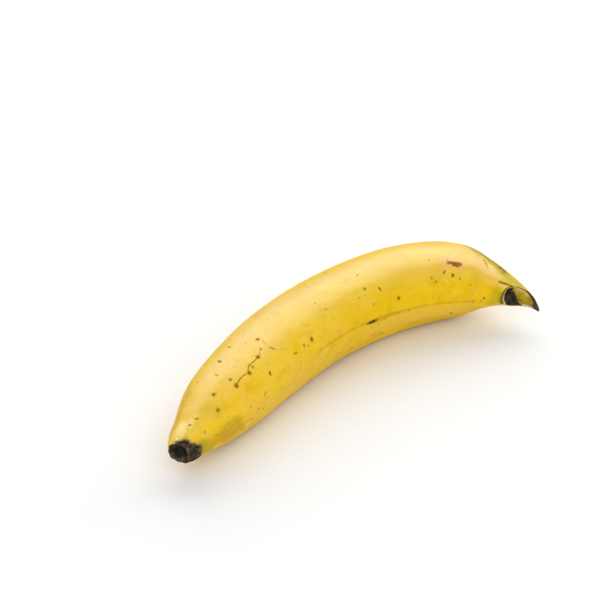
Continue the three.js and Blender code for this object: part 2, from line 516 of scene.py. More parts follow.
store("straight", "FLOAT_VECTOR", with_middles(all_straight) * MM)
store("to_crest", "FLOAT", with_middles(crest_rows) * MM)
store("from_crease", "FLOAT", with_middles(crease_rows) * MM)
store("torn", "FLOAT", with_middles(torn_rows))
print("faces:", len(fruit_mesh.polygons), "triangles:", 2 * len(quads) + 2 * AROUND)

# %% [markdown]
# ## Short words for shader nodes
#
# Node trees written out in full are long and hard to read. This small class gives the few
# nodes that the fruit needs a short call each, so that a material reads as a list of what is
# laid over what. Sizes are given in metres, because the straightened place is in metres.


# %% Short words for shader nodes
class Tree:
    """A node tree, with short calls for the nodes used here."""

    def __init__(self, tree):
        self.tree = tree

    def link(self, output, into):
        self.tree.links.new(output, into)

    def add(self, kind, inputs, **settings):
        """Makes a node, sets or links its inputs, and gives back its outputs."""
        made = self.tree.nodes.new("ShaderNode" + kind)
        for name, value in settings.items():
            setattr(made, name, value)
        for name, value in inputs.items():
            if isinstance(value, bpy.types.NodeSocket):
                self.link(value, made.inputs[name])
            else:
                made.inputs[name].default_value = value
        return made.outputs

    def group(self, group, inputs):
        return self.add("Group", inputs, node_tree=group)

    def stored(self, name, output="Fac"):
        return self.add("Attribute", {}, attribute_name=name)[output]

    def parts(self, vector):
        return self.add("SeparateXYZ", {0: vector})

    def maths(self, operation, a, b=0.0):
        return self.add("Math", {0: a, 1: b}, operation=operation)[0]

    def chain(self, operation, value, *others):
        for other in others:
            value = self.maths(operation, value, other)
        return value

    def plus(self, *values):
        return self.chain("ADD", *values)

    def less(self, a, b):
        return self.maths("SUBTRACT", a, b)

    def times(self, *values):
        return self.chain("MULTIPLY", *values)

    def most(self, *values):
        return self.chain("MAXIMUM", *values)

    def vector(self, operation, a, b):
        return self.add("VectorMath", {0: a, 1: b}, operation=operation)[0]

    def scaled(self, vector, by):
        return self.add("VectorMath", {0: vector, "Scale": by}, operation="SCALE")[0]

    def measure(self, operation, a, b=(0, 0, 0)):
        """A number from one vector or two: a length, a distance or a dot product."""
        return self.add("VectorMath", {0: a, 1: b}, operation=operation)["Value"]

    def dot(self, a, b):
        return self.measure("DOT_PRODUCT", a, b)

    def spread(self, value, low, high):
        """A value from 0 to 1 laid out between low and high, without clamping."""
        inputs = {"Value": value, "To Min": low, "To Max": high}
        return self.add("MapRange", inputs, clamp=False)[0]

    def rise(self, value, start, end):
        """0 at start and 1 at end, with a soft rise; it falls where end is below start."""
        inputs = {"Value": value, "From Min": start, "From Max": end}
        return self.add("MapRange", inputs, interpolation_type="SMOOTHSTEP")[0]

    def between(self, share, a, b):
        """Number a, turned into number b by a share."""
        return self.add("Mix", {0: share, 2: a, 3: b}, data_type="FLOAT")[0]

    def blend(self, share, a, b):
        """Colour a, with colour b laid over it by a share."""
        return self.add("Mix", {0: share, 6: a, 7: b}, data_type="RGBA")[2]

    def noise(self, place, size, detail=2.0, roughness=0.5, colour=False):
        """Noise whose features have a size in metres, one number or (along, across, up)."""
        sizes = size if isinstance(size, tuple) else (size,) * 3
        scaled = self.vector("MULTIPLY", place, tuple(1 / s for s in sizes))
        inputs = {"Vector": scaled, "Scale": 1.0, "Detail": detail, "Roughness": roughness}
        return self.add("TexNoise", inputs)["Color" if colour else "Fac"]

    def surface(self, shader, colour, roughness, height, strength, depth):
        """Feeds a shader its colour, its roughness and a bump of a depth in metres."""
        bump = {"Height": height, "Strength": strength, "Distance": depth}
        self.link(colour, shader.inputs["Base Color"])
        self.link(roughness, shader.inputs["Roughness"])
        self.link(self.add("Bump", bump)[0], shader.inputs["Normal"])


def new_group(name, takes, gives):
    """A node group with named sockets, its tree, and its input and output sockets."""
    group = bpy.data.node_groups.new(name, "ShaderNodeTree")
    for socket, (kind, value) in takes.items():
        made = group.interface.new_socket(socket, in_out="INPUT", socket_type="NodeSocket" + kind)
        if value is not None:
            made.default_value = value
    for socket, kind in gives.items():
        group.interface.new_socket(socket, in_out="OUTPUT", socket_type="NodeSocket" + kind)
    tree = Tree(group)
    entry, leave = group.nodes.new("NodeGroupInput"), group.nodes.new("NodeGroupOutput")
    return group, tree, entry.outputs, leave.inputs


def new_material(name, viewport):
    """A material, its Tree to add to, and its Principled shader."""
    material = bpy.data.materials.new(name)
    material.use_nodes = True
    material.diffuse_color = (*viewport[:3], 1)
    tree = Tree(material.node_tree)
    return material, tree, material.node_tree.nodes["Principled BSDF"]


print("short calls ready:", sum(not name.startswith("_") for name in vars(Tree)))

# %% [markdown]
# ## Specks and strokes
#
# A ripe peel is freckled: each speck is a small spot of dead cells, darkest in its middle. A
# scratch or a rubbed edge is the same browning along a line. Painting them on an image would
# tie them to a resolution. Here each one is a distance, to a point or to a stretch of line, on
# the straightened fruit, and so it stays sharp however close the camera comes. Each group
# passes on what came before, so marks can be strung one after another.

# %% Specks and strokes
# shares of a speck's radius: where its colour begins, and where it is full
SPECK_EDGE, SPECK_CORE = 2.0, 0.05

speck, tree, takes, gives = new_group(
    "Speck",
    {"Place": ("Vector", None), "Centre": ("Vector", None), "Radius": ("Float", 0.0007),
     "Strength": ("Float", 1.0), "Before": ("Float", 0.0)},
    {"Mask": "Float"})
from_centre = tree.measure("DISTANCE", takes["Place"], takes["Centre"])
share = tree.maths("DIVIDE", from_centre, takes["Radius"])
spot = tree.times(tree.rise(share, SPECK_EDGE, SPECK_CORE), takes["Strength"])
tree.link(tree.most(spot, takes["Before"]), gives["Mask"])

stroke, tree, takes, gives = new_group(
    "Stroke",
    {"Place": ("Vector", None), "Start": ("Vector", None), "End": ("Vector", None),
     "Width": ("Float", 0.0005), "Softness": ("Float", 0.4), "Strength": ("Float", 1.0),
     "Before": ("Float", 0.0)},
    {"Mask": "Float"})
line = tree.vector("SUBTRACT", takes["End"], takes["Start"])
reach = tree.vector("SUBTRACT", takes["Place"], takes["Start"])
part = tree.maths("DIVIDE", tree.dot(reach, line), tree.dot(line, line))
part = tree.maths("MINIMUM", tree.most(part, 0.0), 1.0)
aside = tree.measure("DISTANCE", reach, tree.scaled(line, part))
share = tree.maths("DIVIDE", aside, takes["Width"])
outer, inner = tree.plus(1.0, takes["Softness"]), tree.less(1.0, takes["Softness"])
mark = tree.times(tree.rise(share, outer, inner), takes["Strength"])
tree.link(tree.most(mark, takes["Before"]), gives["Mask"])
print("groups:", speck.name, stroke.name)

# %% [markdown]
# ## Dried crust
#
# The tip, its crater and the torn end of the stem have all dried to the same black crust: dark
# pith with a few grey-brown lumps and fibres that catch the light. It is one effect on three
# finishes, so it is one node group, with the place as its input and a colour, a roughness and a
# height as its outputs.

# %% Dried crust
CRUST_BLACK = (0.014, 0.009, 0.007, 1)
CRUST_BROWN = (0.075, 0.048, 0.028, 1)
CRUST_GREY = (0.17, 0.135, 0.095, 1)
LUMP_SIZE, FIBRE_SIZE = 0.0030, (0.0032, 0.0007, 0.0007)

dried_crust, tree, takes, gives = new_group(
    "Dried crust", {"Place": ("Vector", None)},
    {"Color": "Color", "Roughness": "Float", "Height": "Float"})
lumps = tree.noise(takes["Place"], LUMP_SIZE, 3.0, 0.6)
fibres = tree.noise(takes["Place"], FIBRE_SIZE, 3.0, 0.6)
colour = tree.blend(tree.rise(lumps, 0.38, 0.60), CRUST_BLACK, CRUST_BROWN)
colour = tree.blend(tree.times(tree.rise(lumps, 0.56, 0.70), 0.6), colour, CRUST_GREY)
colour = tree.blend(tree.times(tree.rise(fibres, 0.60, 0.78), 0.7), colour, CRUST_GREY)
tree.link(colour, gives["Color"])
tree.link(tree.spread(fibres, 0.55, 0.85), gives["Roughness"])
tree.link(tree.plus(lumps, tree.times(fibres, 0.6)), gives["Height"])
print("group:", dried_crust.name)

# %% [markdown]
# ## Grain of the peel
#
# Under the wax the peel has a fine lengthwise grain and tiny pores. It shows as a slight break
# in the gloss rather than as a colour. The inner side of the torn stem has the same grain, so
# this too is a group.

# %% Grain of the peel
STREAK_SIZE, PORE_SIZE = (0.014, 0.0011, 0.0011), 0.0006

grain, tree, takes, gives = new_group(
    "Peel grain", {"Place": ("Vector", None)}, {"Height": "Float", "Streaks": "Float"})
streaks = tree.noise(takes["Place"], STREAK_SIZE, 2.0, 0.55)
pores = tree.noise(takes["Place"], PORE_SIZE, 1.0, 0.5)
tree.link(tree.plus(tree.times(streaks, 0.7), tree.times(pores, 0.35)), gives["Height"])
tree.link(streaks, gives["Streaks"])
print("group:", grain.name)

# %% [markdown]
# ## Where the freckles are
#
# The marks of this fruit are lists in the same terms as its form: distance from the tip in
# millimetres, and degrees round it. They are placed one by one, as a sign painter would. A
# random scatter would be shorter to write, but freckles aren't even: they gather near the tip
# and along the crests, and leave the pale upper face nearly clean.

# %% Where the freckles are
# distance, degrees round, radius in mm, strength
FRECKLES = [
    (7.3, 88, 0.5, 0.45), (9.9, 88, 0.8, 0.8), (15.3, 93, 0.4, 0.3),
    (11.9, 42, 0.8, 0.4), (25.2, 56, 1.0, 0.85), (30.6, 81, 0.9, 0.9), (37.9, 131, 0.6, 0.5),
    (43.2, 75, 0.85, 0.8), (74, 134, 0.6, 0.5), (77.3, 116, 0.6, 0.45), (71.1, 99, 0.6, 0.4),
    (63.9, 92, 0.4, 0.3),
    (76.1, 88, 0.95, 1.0), (102.1, 38, 1.05, 1.0), (94.9, 38, 0.8, 0.6), (97.5, 34, 0.8, 0.4),
    (47.8, 8, 0.6, 0.65), (53.2, -2, 0.6, 0.6), (42.5, 20, 0.6, 0.4), (104, 56, 0.5, 0.45),
    (120, 74, 0.6, 0.45), (123, 59, 0.6, 0.5), (130, 81, 0.5, 0.3), (147, 126, 0.7, 0.65),
    (147, 51, 0.6, 0.45), (153.4, 58, 0.8, 0.75), (156, 82, 0.7, 0.5), (154.9, 35, 0.8, 0.4),
    (162.6, -25, 0.9, 0.75), (138, -23, 1.0, 0.45), (167, 34, 0.5, 0.3), (173.3, 30, 1.0, 0.9),
    (173, 71, 0.5, 0.35), (181, 4, 0.5, 0.3), (183, 79, 0.4, 0.35), (184, 91, 0.4, 0.35),
    (187, 75, 0.4, 0.3), (179.4, 9, 0.6, 0.5), (194, 53, 0.5, 0.35), (200, 44, 0.8, 0.5),
    (202, 71, 0.5, 0.45), (203, 38, 0.8, 0.6), (199.3, 17, 0.6, 0.35), (208, 33, 0.5, 0.35),
    (216.1, 45, 0.95, 1.0), (221.8, 40, 0.8, 0.5), (216.5, -22, 1.0, 0.75), (230.3, 31, 0.8, 0.35),
    (234.1, -4, 0.9, 0.45), (239.4, -8, 0.7, 0.5), (241.7, 0, 0.8, 0.8), (213.4, 70, 0.6, 0.55),
    (210.0, 64, 0.5, 0.45),
]
# fine threads of scratch: width in mm, strength, and their points
THREADS = [
    (0.33, 0.85, [(42.5, 62), (45.9, 63.8), (48.6, 64.6), (51, 63.4), (53.5, 62)]),
    (0.33, 0.80, [(54.7, 65), (56.2, 68), (58.5, 68.5), (61.2, 68), (65.4, 68)]),
    (0.30, 0.65, [(65.4, 68), (68.1, 70), (71.1, 74)]),
    (0.30, 0.45, [(77.6, 84), (75.3, 75)]),
]
# short dashes, as a nail or a stem leaves: the same, but unbroken
DASHES = [
    (0.58, 0.95, [(64.5, 42.0), (64.0, 39.0)]),
    (0.45, 0.70, [(75.3, 67), (76.5, 61.5)]),
    (0.62, 0.80, [(162.4, 51.5), (163.0, 49.0)]),
    (0.62, 0.80, [(210.4, 51.5), (209.4, 48.5)]),
    (0.50, 0.60, [(85.9, 38.2), (87.8, 36.8)]),
    (0.50, 0.50, [(55.4, 24), (54.2, 21)]),
    (0.55, 0.75, [(14.2, 84), (14.7, 79)]),
    (0.62, 0.85, [(53.6, 112), (54.4, 118)]),
    (0.55, 0.65, [(66.3, 118), (66.9, 124)]),
    (0.60, 0.45, [(42.9, 97), (43.5, 103)]),
]
THREAD_KNOTS = [(42.5, 61.5, 1.15, 0.95), (53.9, 61, 1.1, 1.0), (58.2, 63.5, 0.9, 0.55),
                (65.4, 68, 1.0, 1.0), (71.1, 74, 0.7, 0.6)]


def on_skin(distance, degrees):
    """A mark's place on the straightened fruit, in metres."""
    angle = math.radians(degrees)
    return [float(v) * MM for v in straight(distance, radius(distance, angle), angle)]


def strung(tree, place, specks=(), lines=(), softness=0.4):
    """All these marks as one mask, strung one after another."""
    before = 0.0
    for distance_mm, degrees, size, strength in specks:
        before = tree.group(speck, {"Place": place, "Centre": on_skin(distance_mm, degrees),
                                    "Radius": size * MM, "Strength": strength,
                                    "Before": before})["Mask"]
    for width, strength, points in lines:
        for start, end in zip(points, points[1:] or points):
            before = tree.group(stroke, {"Place": place, "Start": on_skin(*start),
                                         "End": on_skin(*end), "Width": width * MM,
                                         "Softness": softness, "Strength": strength,
                                         "Before": before})["Mask"]
    return before


print("freckles:", len(FRECKLES), "threads:", len(THREADS))

# %% [markdown]
# ## Where the stains are
#
# Under the freckles lie soft stains: the golden patch beside the tip, the green that is left
# on the neck and the tongue of the stem, rubs on the side that lay against other fruit. A few
# strokes are painted light instead: a pale painted sheen beside the tip, painted shade in the
# crease and painted shadow along the upper edge of the neck. Each is a wide, soft stroke in its
# own colour. Listing them with their colour keeps them all in one place.

# %% Where the stains are
GOLD = (0.82, 0.51, 0.001, 1)
LEMON = (0.85, 0.56, 0.003, 1)
STRAW = (0.88, 0.57, 0.072, 1)
PEACH = (0.82, 0.51, 0.055, 1)
PALE_PAINTED_SHEEN = (0.92, 0.70, 0.16, 1)
DEEP_GOLD = (0.58, 0.35, 0.003, 1)
ORANGE = (0.72, 0.33, 0.006, 1)
TAN = (0.60, 0.34, 0.07, 1)
OLIVE = (0.46, 0.35, 0.008, 1)
BRONZE = (0.40, 0.23, 0.006, 1)
BONE = (0.80, 0.62, 0.24, 1)
DARK_OLIVE = (0.13, 0.11, 0.006, 1)
GREEN = (0.49, 0.43, 0.03, 1)
UMBER = (0.22, 0.11, 0.03, 1)
PINK = (0.86, 0.42, 0.16, 1)

# colour, half width in mm, strength, and its points
STAINS = [
    (OLIVE, 3.0, 0.30, [(21, 78), (23, 66), (24, 52)]),
    (DEEP_GOLD, 4.6, 0.75, [(9, -2), (19, 2), (27, 8), (31, 4)]),
    (DEEP_GOLD, 3.5, 0.70, [(24, -16), (34, -12)]),
    (BRONZE, 0.8, 0.30, [(17, 16), (22, 17), (26.4, 22), (29.1, 24), (32.1, 20), (34.4, 13)]),
    (BRONZE, 0.6, 0.32, [(27.5, 14), (30.6, 15), (34.2, 8), (34.6, -3), (30.6, -2)]),
    (BRONZE, 1.6, 0.25, [(20, 6), (26, 4)]),
    (OLIVE, 2.6, 0.75, [(7, 20), (9, -8), (14, -24)]),
    # painted sheen: pale strokes on the upper side next to the black tip
    (PALE_PAINTED_SHEEN, 2.8, 0.70, [(1, 122), (4, 116), (8, 113)]),
    (PALE_PAINTED_SHEEN, 1.6, 0.60, [(2.2, 98), (3.2, 92)]),
    (BRONZE, 1.2, 0.55, [(37.4, -17), (39.2, -19)]),
    (ORANGE, 2.0, 0.60, [(18.5, -4), (26, -8)]),
    (ORANGE, 0.9, 0.70, [(39.8, -2), (43.6, -7)]),
    (TAN, 1.0, 0.50, [(8, 139), (18, 141), (27, 140), (35, 143)]),
    (ORANGE, 0.8, 0.60, [(29, 133), (33, 136)]),
    (DEEP_GOLD, 0.8, 0.55, [(107.5, 18), (104.8, 16), (102.9, 9)]),
    (ORANGE, 2.4, 0.40, [(154, -15), (160, -20)]),
    # painted shade: deeper gold in the crease, on from the black streak
    (DEEP_GOLD, 1.5, 0.80, [(154, 12.5), (161, 12)]),
    (DEEP_GOLD, 0.9, 0.75, [(161, 12), (172, 11)]),
    (TAN, 0.6, 0.65, [(183, -21), (190, -22), (197, -21)]),
    (BRONZE, 0.6, 0.75, [(228.0, 117), (231.0, 112), (233.3, 104)]),
    (BRONZE, 0.6, 0.80, [(235.2, 104), (237.5, 92), (239.8, 80)]),
    # partly a rub, partly painted shadow of a neighbouring fruit along the neck's upper edge
    (OLIVE, 2.4, 0.90, [(227, 128), (233, 121), (237, 118), (243, 113), (248, 110)]),
    (DARK_OLIVE, 1.3, 0.50, [(231, 127), (237, 122), (243, 117), (248, 113)]),
    (PEACH, 4.0, 0.70, [(236, 66), (242, 72), (246, 66)]),
    (GREEN, 3.0, 0.70, [(246, 100), (251, 92), (256, 104), (261, 114)]),
    (GREEN, 2.5, 0.45, [(238, 150), (250, 140)]),
    (UMBER, 1.3, 0.95, [(244.5, 114), (247.0, 112)]),
    (ORANGE, 0.8, 0.50, [(245.2, 106), (246.5, 104)]),
    (OLIVE, 4.0, 0.60, [(247, -26), (249, 0), (249, 20)]),
    (BONE, 1.2, 0.50, [(249.8, 51), (252.4, 50)]),
    (DARK_OLIVE, 1.0, 0.35, [(251.8, 20), (251.0, 0), (250.6, -20)]),
    (OLIVE, 1.0, 0.60, [(248.8, 59.5), (251.3, 62), (254.5, 69)]),
    # the far side, which lay against its neighbours
    (TAN, 1.3, 0.45, [(70, 196), (84, 199), (96, 196)]),
    (BRONZE, 0.5, 0.45, [(75, 197), (83, 199.5), (90, 198)]),
    (UMBER, 1.1, 0.80, [(118, 214), (126, 216), (131, 213)]),
    (UMBER, 0.6, 0.70, [(133, 212), (142, 209)]),
    (ORANGE, 3.0, 0.35, [(60, 262), (72, 258)]),
    (TAN, 0.7, 0.70, [(150, 268), (163, 272), (171, 270)]),
    (UMBER, 0.9, 0.75, [(196, 188), (203, 184)]),
    (OLIVE, 3.0, 0.45, [(228, 210), (246, 200)]),
    (GREEN, 4.5, 0.60, [(240, 172), (254, 186), (268, 195)]),
    (GREEN, 4.0, 0.55, [(242, 250), (252, 225), (262, 205)]),
    (OLIVE, 2.2, 0.45, [(256, 180), (268, 192)]),
    (OLIVE, 3.5, 0.50, [(5, 190), (9, 230), (8, 270)]),
]
# half width in mm, strength, and points: the black streak in the crease, and the split at
# the root of the tongue, drawn dark as painted shadow in its fold
BLACK_STREAKS_AND_FOLD_SHADOW = [
    (0.50, 0.80, [(146.8, 13.8), (154.6, 13.2)]),
    (0.85, 0.95, [(148.8, 13.6), (152.4, 13.4)]),
    # painted shadow in the fold at the root of the tongue
    (0.60, 0.70, [(248.4, 58.5), (251.3, 62), (255.4, 71.5)]),
]
# the red-brown bruise near the neck, and the pink round it
BRUISE = [
    (1.15, 1.0, [(214.0, 65), (218, 64), (222.2, 63.5)]),
    (1.05, 1.0, [(217.2, 61.5), (220.4, 60.2)]),
]
BRUISE_HALO = [(3.2, 0.50, [(211.5, 67), (217, 64.5), (222.5, 61)])]
print("stains:", len(STAINS))

# %% [markdown]
# ## Ripe peel: the ground colour
#
# The peel is laid up as it looks, from the ground colour out. First a warm yellow in close
# tones that drift into each other, saturated towards the stem and paler, like straw, towards
# the tip. Over it come cloudy shades, a fine mottle and the lengthwise streaks of the grain.
#
# One noise for all of it would be quicker, but then the large drifts and the fine ones would
# share their shapes, which the eye notices at once.

# %% Ripe peel: the ground colour
DRIFT_SIZE, PATCH_SIZE = (0.030, 0.016, 0.016), (0.012, 0.008, 0.008)
SHADE_SIZE, MOTTLE_SIZE = (0.0085, 0.0060, 0.0060), (0.0034, 0.0026, 0.0026)
DEEPER, PALER = 0.35, 0.45
MOTTLED, STREAKED = 0.28, 0.15
PALER_FROM, PALER_TO = 0.175, 0.085

peel, tree, shader = new_material("ripe peel", (0.83, 0.52, 0.035))
place = tree.stored("straight", "Vector")
distance = tree.parts(place)[0]
grained = tree.group(grain, {"Place": place})

drift = tree.noise(place, DRIFT_SIZE, 2.0, 0.5)
patches = tree.noise(place, PATCH_SIZE, 2.0, 0.5)
mottle = tree.noise(place, MOTTLE_SIZE, 3.0, 0.6)
paler_half = tree.rise(distance, PALER_FROM, PALER_TO)
straw_share = tree.times(tree.rise(patches, 0.30, 0.72), tree.spread(paler_half, 0.15, 0.50))
straw_share = tree.plus(straw_share, tree.times(paler_half, 0.22))
colour = tree.blend(tree.rise(drift, 0.32, 0.68), GOLD, LEMON)
colour = tree.blend(straw_share, colour, STRAW)
shades = tree.noise(place, SHADE_SIZE, 2.0, 0.55)
colour = tree.blend(tree.times(tree.rise(shades, 0.52, 0.76), DEEPER), colour, DEEP_GOLD)
colour = tree.blend(tree.times(tree.rise(shades, 0.48, 0.26), PALER), colour, STRAW)
mottled = tree.times(tree.rise(mottle, 0.46, 0.80), MOTTLED)
colour = tree.blend(mottled, colour, DEEP_GOLD)
streaked = tree.times(tree.rise(grained["Streaks"], 0.5, 0.8), STREAKED)
colour = tree.blend(streaked, colour, TAN)
print("ground colour laid, paler before", round(PALER_FROM / MM), "mm")

# %% [markdown]
# ## Ripe peel: crests, crease and facet
#
# The crests of the far side have been rubbed to a dry tan. Along the crease lies a soft band of
# painted shade in deeper gold rather than a line, and the narrow facet below it is peach. Below
# the facet the peel turns a deeper gold. These follow the form, so they are read from the
# distances that the mesh carries.

# %% Ripe peel: crests, crease and facet
CREST_HALF_WIDTH, CREST_TAN = 0.0050, 0.60
BREAK_SIZE = (0.012, 0.004, 0.004)
WOBBLE = 0.003
BELOW_FACET_GOLD = 0.30

crest = tree.rise(tree.stored("to_crest"), CREST_HALF_WIDTH, 0.0)
broken = tree.rise(tree.noise(place, BREAK_SIZE, 3.0, 0.6), 0.36, 0.62)
colour = tree.blend(tree.times(crest, broken, CREST_TAN), colour, TAN)

from_crease_line = tree.plus(tree.stored("from_crease"),
                             tree.times(tree.less(patches, 0.5), WOBBLE))
facet = tree.times(tree.rise(from_crease_line, 0.0002, -0.0014),
                   tree.rise(from_crease_line, -0.0125, -0.0095),
                   tree.rise(distance, 0.135, 0.168),
                   tree.rise(distance, 0.240, 0.226),
                   tree.spread(patches, 0.40, 1.0))
colour = tree.blend(facet, colour, PEACH)
below_facet = tree.times(tree.rise(from_crease_line, -0.0100, -0.0130),
                         tree.rise(distance, 0.170, 0.190))
colour = tree.blend(tree.times(below_facet, BELOW_FACET_GOLD), colour, DEEP_GOLD)
# painted shade: the crease is darkened to a deeper gold along its length
beside_crease = tree.maths("ABSOLUTE", tree.stored("from_crease"))
painted_crease_shade = tree.times(tree.rise(beside_crease, 0.0016, 0.0001),
                   tree.rise(distance, 0.085, 0.125),
                   tree.rise(distance, 0.242, 0.230),
                   tree.spread(broken, 0.30, 0.75))
colour = tree.blend(painted_crease_shade, colour, DEEP_GOLD)
print("crests, crease and facet laid")

# %% [markdown]
# ## Ripe peel: the marks
#
# The marks are read at a place that is nudged a little by noise, so that no outline is a
# perfect circle or a ruled line. Stains are nudged further, as they spread under the skin, and
# the darker ones are rubs, which are kept apart because they take the wax off too. A thread of
# scratch is broken by noise, for the nail that made it skipped, and the bruise is torn up by a
# finer one. Last come stray freckles, a few on the seen side and more on the side that lay
# below.

# %% Ripe peel: the marks
SPECK_BROWN = (0.135, 0.070, 0.0, 1)
SPECK_HALO = (0.58, 0.34, 0.0, 1)
BRUISE_RED = (0.33, 0.11, 0.0, 1)
BRUISE_DARK = (0.10, 0.032, 0.010, 1)
STREAK_AND_FOLD_SHADOW_BLACK = (0.040, 0.022, 0.006, 1)
RUBS = (BRONZE, UMBER, OLIVE, DARK_OLIVE)
# how far noise moves a mark's outline: size of the noise, and reach
CLOSE_NUDGE, WIDE_NUDGE = (0.0016, 0.0010), (0.0035, 0.0045)
TEAR_SIZE, BLOTCH_SIZE = (0.0013, 0.0009, 0.0009), (0.0024, 0.0014, 0.0014)
STRAY_PER_METRE = 150.0
STRAY_SEEN, STRAY_BELOW = 0.08, 0.75


def nudged(size, reach):
    """The place, moved about by noise of a size and by at most half of reach."""
    way = tree.vector("SUBTRACT", tree.noise(place, size, 2.0, 0.6, colour=True), (0.5, 0.5, 0.5))
    return tree.vector("ADD", place, tree.scaled(way, reach))


spread = nudged(*WIDE_NUDGE)
rubbed = 0.0
for stain_colour, half_width, strength, points in STAINS:
    mask = strung(tree, spread, lines=[(half_width, strength, points)], softness=0.75)
    colour = tree.blend(mask, colour, stain_colour)
    if stain_colour in RUBS:
        rubbed = tree.most(mask, rubbed)

close = nudged(*CLOSE_NUDGE)
freckles = strung(tree, close, specks=FRECKLES + THREAD_KNOTS, lines=DASHES, softness=0.95)
threads = strung(tree, close, lines=THREADS)
skipped = tree.rise(tree.noise(place, 0.0018, 2.0, 0.6), 0.30, 0.48)
freckles = tree.most(freckles, tree.times(threads, skipped))
colour = tree.blend(tree.rise(freckles, 0.0, 0.5), colour, SPECK_HALO)
colour = tree.blend(tree.maths("POWER", freckles, 1.8), colour, SPECK_BROWN)

colour = tree.blend(strung(tree, spread, lines=BRUISE_HALO, softness=0.9), colour, PINK)
torn_up = tree.less(tree.noise(place, TEAR_SIZE, 3.0, 0.65), 0.5)
bruised = tree.plus(strung(tree, close, lines=BRUISE, softness=0.9), tree.times(torn_up, 1.3))
bruised = tree.rise(bruised, 0.05, 1.05)
blotches = tree.rise(tree.noise(place, BLOTCH_SIZE, 2.0, 0.6), 0.40, 0.66)
colour = tree.blend(bruised, colour, BRUISE_RED)
colour = tree.blend(tree.times(bruised, blotches, 0.5), colour, BRUISE_DARK)
# black streaks, with painted shadow in the fold at the root of the tongue
streaks_and_fold_shadow = strung(tree, close, lines=BLACK_STREAKS_AND_FOLD_SHADOW, softness=0.75)
colour = tree.blend(streaks_and_fold_shadow, colour, STREAK_AND_FOLD_SHADOW_BLACK)

cells = tree.add("TexVoronoi", {"Vector": close, "Scale": STRAY_PER_METRE})
chance = tree.parts(cells["Color"])
spot_size = tree.spread(chance[1], 0.05, 0.16)
stray = tree.rise(tree.maths("DIVIDE", cells["Distance"], spot_size), 1.0, 0.3)
stray = tree.times(stray, tree.rise(chance[0], 0.45, 0.95))
below = tree.rise(tree.dot(place, (0, -0.57, -0.82)), -0.004, 0.008)
stray = tree.times(stray, tree.plus(STRAY_SEEN, tree.times(below, STRAY_BELOW)))
colour = tree.blend(stray, colour, SPECK_BROWN)
marked = tree.most(freckles, bruised, stray)
print("nodes so far:", len(peel.node_tree.nodes))

# %% [markdown]
# ## Ripe peel: the dried ends and the wax
#
# The black of the tip ends in a ragged edge. It runs far down the lower flank and a little way
# over the crown, and at the back it stops inside the lip, so the edge is a sum of soft steps
# read across the fruit. The torn tongue of the stem ends in the same black.
#
# The wax is a thin, cloudy coat, whole on the upper side and worn off the front. It gives the
# upper side its milky sheen, a little weaker towards the tip, and leaves the front a satin
# yellow. Marks, rubs and dried skin have none.

# %% Ripe peel: the dried ends and the wax
# where the black of the tip ends, and how much further it goes on each side
TIP_EDGE, TIP_FLANK, TIP_CROWN, TIP_BACK = 0.0006, 0.0072, 0.0012, -0.0045
FLANK_WAY, CROWN_WAY, BACK_WAY = (0, 0.87, -0.5), (0, 0.57, 0.82), (0, -0.87, 0.5)
RAG_SIZE, TIP_RAG, TONGUE_RAG = (0.0030, 0.0022, 0.0022), 0.0034, 0.0060

on_flank = tree.rise(tree.dot(place, FLANK_WAY), 0.0, 0.0120)
on_crown = tree.rise(tree.dot(place, CROWN_WAY), 0.0055, 0.0085)
on_back = tree.rise(tree.dot(place, BACK_WAY), 0.0020, 0.0090)
black_to = tree.plus(TIP_EDGE, tree.times(on_flank, TIP_FLANK),
                     tree.times(on_crown, TIP_CROWN), tree.times(on_back, TIP_BACK))
ragged = tree.less(tree.noise(place, RAG_SIZE, 3.0, 0.6), 0.5)
past_black = tree.plus(tree.less(distance, black_to), tree.times(ragged, TIP_RAG))
fringe = tree.times(tree.rise(past_black, 0.0050, 0.0004), tree.spread(on_flank, 0.25, 0.65))
colour = tree.blend(fringe, colour, OLIVE)
scorched = tree.rise(past_black, 0.0019, 0.0)
colour = tree.blend(tree.times(scorched, 0.7), colour, UMBER)
tongue_end = tree.plus(distance, tree.times(ragged, TONGUE_RAG))
browned = tree.rise(tongue_end, 0.2600, 0.2675)
colour = tree.blend(tree.times(browned, 0.7), colour, UMBER)
dried = tree.most(tree.rise(past_black, 0.0007, -0.0007), tree.rise(tongue_end, 0.2665, 0.2680))
crusted = tree.group(dried_crust, {"Place": place})
colour = tree.blend(dried, colour, crusted["Color"])

gloss = tree.plus(tree.spread(patches, 0.40, 0.54), tree.times(marked, 0.15))
tree.surface(shader, colour, tree.between(dried, gloss, crusted["Roughness"]),
             tree.between(dried, grained["Height"], crusted["Height"]), 0.5, 0.00025)

# how far up a skin has to face for wax: where it begins, and where it is whole
WAX_FROM, WAX_WHOLE = 0.64, 0.99
UP, UP_IN_PALER_HALF = (0, 0.15, 1.0), (0, -0.24, 0)
WAX_IN_PALER_HALF, WAX_ON_TONGUE = 0.85, 0.12
outward = tree.add("VectorMath", {0: tree.vector("MULTIPLY", place, (0, 1, 1))},
                   operation="NORMALIZE")[0]
facing_up = tree.plus(tree.dot(outward, UP),
                      tree.times(tree.dot(outward, UP_IN_PALER_HALF), paler_half))
bare = tree.most(marked, rubbed, dried)
wax = tree.times(tree.rise(facing_up, WAX_FROM, WAX_WHOLE),
                 tree.spread(paler_half, 1.0, WAX_IN_PALER_HALF),
                 tree.less(1.0, bare),
                 tree.spread(tree.rise(distance, 0.256, 0.238), WAX_ON_TONGUE, 1.0))
tree.link(wax, shader.inputs["Coat Weight"])
shader.inputs["Coat Roughness"].default_value = 0.34
shader.inputs["Coat IOR"].default_value = 1.75
shader.inputs["IOR"].default_value = 1.45
shader.inputs["Specular IOR Level"].default_value = 0.08
print("nodes in the peel:", len(peel.node_tree.nodes))

